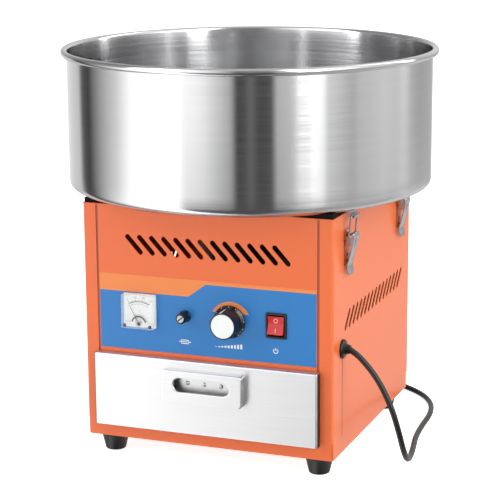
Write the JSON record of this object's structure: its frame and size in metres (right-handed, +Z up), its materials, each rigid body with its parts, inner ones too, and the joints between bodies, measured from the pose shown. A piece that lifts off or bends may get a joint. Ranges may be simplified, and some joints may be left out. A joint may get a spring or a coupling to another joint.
{
  "type": "electric candy floss machine",
  "caption": "Countertop electric candy floss machine: square painted cabinet with panel meter, regulator knob, rocker switch, drawer, and a wide latched stainless bowl round a spinner head.",
  "frame": {"origin": "on the floor under the bowl axis, in the middle of the bowl rim's square", "axes": "+Z up along the spindle, -Y out of the drawer front, +X towards the side the mains cord leaves"},
  "size_m": [0.5221, 0.579, 0.5525],
  "materials": {
    "painted_steel_orange": "gloss powder coat",
    "galvanised_steel": "zinc plated, satin",
    "stainless_steel": "fine brushed",
    "cast_aluminium": "turned",
    "zinc_plated_steel": "bright zinc",
    "black_rubber": "matt moulded rubber",
    "cord_rubber": "glossy jacket",
    "label_print": "printed film, blue and light orange",
    "black_plastic": "moulded",
    "clear_plastic": "clear moulded cover",
    "white_card": "printed dial",
    "needle_paint": "painted",
    "knob_disc": "white insert",
    "red_plastic": "translucent red",
    "motor_paint": "black enamel",
    "rotor_steel": "laminated stack",
    "brass": "turned",
    "carbon": "carbon block",
    "heater_metal": "heat-darkened sheath",
    "glass_link": "glass tube with metal caps",
    "regulator_body": "moulded",
    "circuit_board": "solder mask",
    "terminal_plastic": "moulded"
  },
  "bodies": {
    "root": {"base_tray": "painted_steel_orange", "left_side_panel": "painted_steel_orange", "right_side_panel": "painted_steel_orange", "front_panel": "painted_steel_orange", "rear_panel": "painted_steel_orange", "top_plate": "galvanised_steel", "drawer_rails": "galvanised_steel", "drawer_shelf": "galvanised_steel", "motor_bracket": "galvanised_steel", "shaft_bearings": "galvanised_steel", "cabinet_screws": "galvanised_steel", "bowl": "stainless_steel", "bowl_catches": "zinc_plated_steel", "latch_bases": "zinc_plated_steel", "rubber_feet": "black_rubber", "bowl_gasket": "black_rubber", "motor_dampers": "black_rubber", "strain_relief": "black_rubber", "power_cord": "cord_rubber", "cord_coil": "cord_rubber", "mains_plug": "cord_rubber", "control_label": "label_print", "voltmeter_case": "black_plastic", "fuse_holder": "black_plastic", "switch_housing": "black_plastic", "brush_holder": "black_plastic", "voltmeter_cover": "clear_plastic", "voltmeter_dial": "white_card", "motor_housing": "motor_paint", "carbon_brushes": "carbon", "power_regulator": "regulator_body", "control_board": "circuit_board", "terminal_block": "terminal_plastic"},
    "spinner": {"drive_shaft": "galvanised_steel", "motor_rotor": "rotor_steel", "slip_rings": "brass", "spinner_base": "cast_aluminium", "heater_coil": "heater_metal", "spinner_screen": "stainless_steel", "spinner_cap": "cast_aluminium", "spinner_bolts": "galvanised_steel"},
    "drawer": {"drawer_front": "stainless_steel", "drawer_tray": "stainless_steel", "drawer_handle": "stainless_steel", "handle_screws": "galvanised_steel"},
    "knob": {"regulator_knob": "black_plastic", "knob_insert": "knob_disc", "regulator_shaft": "galvanised_steel"},
    "rocker": {"switch_rocker": "red_plastic"},
    "fuse_carrier": {"fuse_link": "glass_link"},
    "fuse_cap": {"fuse_cap": "black_plastic"},
    "needle": {"voltmeter_needle": "needle_paint"},
    "lever_front_right": {"latch_lever_front_right": "zinc_plated_steel"},
    "bail_front_right": {"latch_bail_front_right": "zinc_plated_steel"},
    "lever_front_left": {"latch_lever_front_left": "zinc_plated_steel"},
    "bail_front_left": {"latch_bail_front_left": "zinc_plated_steel"},
    "lever_rear_right": {"latch_lever_rear_right": "zinc_plated_steel"},
    "bail_rear_right": {"latch_bail_rear_right": "zinc_plated_steel"},
    "lever_rear_left": {"latch_lever_rear_left": "zinc_plated_steel"},
    "bail_rear_left": {"latch_bail_rear_left": "zinc_plated_steel"}
  },
  "joints": [
    {"name": "spinner_spin", "type": "hinge", "parent": "root", "child": "spinner", "pos_m": [0, 0, 0.4235], "axis": [0, 0, 1], "continuous": true},
    {"name": "drawer_slide", "type": "slide", "parent": "root", "child": "drawer", "axis": [0, -1, 0], "range_m": [0, 0.22]},
    {"name": "regulator_turn", "type": "hinge", "parent": "root", "child": "knob", "pos_m": [0.034, -0.1703, 0.206], "axis": [0, 1, 0], "range_deg": [0, 270]},
    {"name": "power_rocker", "type": "hinge", "parent": "root", "child": "rocker", "pos_m": [0.0996, -0.1683, 0.206], "axis": [1, 0, 0], "range_deg": [0, 20]},
    {"name": "fuse_draw", "type": "slide", "parent": "root", "child": "fuse_carrier", "axis": [0, -1, 0], "range_m": [0, 0.03]},
    {"name": "fuse_cap_turn", "type": "hinge", "parent": "fuse_carrier", "child": "fuse_cap", "pos_m": [-0.0304, -0.1733, 0.2076], "axis": [0, 1, 0], "range_deg": [-45, 0]},
    {"name": "needle_swing", "type": "hinge", "parent": "root", "child": "needle", "pos_m": [-0.0952, -0.1766, 0.1929], "axis": [0, 1, 0], "range_deg": [0, 57], "stiffness_Nm_per_rad": 0.0005},
    {"name": "lever_front_right_swing", "type": "hinge", "parent": "root", "child": "lever_front_right", "pos_m": [0.186, -0.1145, 0.322], "axis": [0, -1, 0], "range_deg": [0, 90]},
    {"name": "bail_front_right_swing", "type": "hinge", "parent": "lever_front_right", "child": "bail_front_right", "pos_m": [0.18444, -0.1145, 0.31314], "axis": [0, -1, 0], "range_deg": [-76, 0]},
    {"name": "lever_front_left_swing", "type": "hinge", "parent": "root", "child": "lever_front_left", "pos_m": [-0.186, -0.1145, 0.322], "axis": [0, 1, 0], "range_deg": [0, 90]},
    {"name": "bail_front_left_swing", "type": "hinge", "parent": "lever_front_left", "child": "bail_front_left", "pos_m": [-0.18444, -0.1145, 0.31314], "axis": [0, 1, 0], "range_deg": [-76, 0]},
    {"name": "lever_rear_right_swing", "type": "hinge", "parent": "root", "child": "lever_rear_right", "pos_m": [0.186, 0.1305, 0.322], "axis": [0, -1, 0], "range_deg": [0, 90]},
    {"name": "bail_rear_right_swing", "type": "hinge", "parent": "lever_rear_right", "child": "bail_rear_right", "pos_m": [0.18444, 0.1305, 0.31314], "axis": [0, -1, 0], "range_deg": [-76, 0]},
    {"name": "lever_rear_left_swing", "type": "hinge", "parent": "root", "child": "lever_rear_left", "pos_m": [-0.186, 0.1305, 0.322], "axis": [0, 1, 0], "range_deg": [0, 90]},
    {"name": "bail_rear_left_swing", "type": "hinge", "parent": "lever_rear_left", "child": "bail_rear_left", "pos_m": [-0.18444, 0.1305, 0.31314], "axis": [0, 1, 0], "range_deg": [-76, 0]}
  ],
  "couplings": [
    {"joint": "bail_front_right_swing", "follows": "lever_front_right_swing", "ratio": -0.822},
    {"joint": "bail_front_left_swing", "follows": "lever_front_left_swing", "ratio": -0.822},
    {"joint": "bail_rear_right_swing", "follows": "lever_rear_right_swing", "ratio": -0.822},
    {"joint": "bail_rear_left_swing", "follows": "lever_rear_left_swing", "ratio": -0.822}
  ]
}
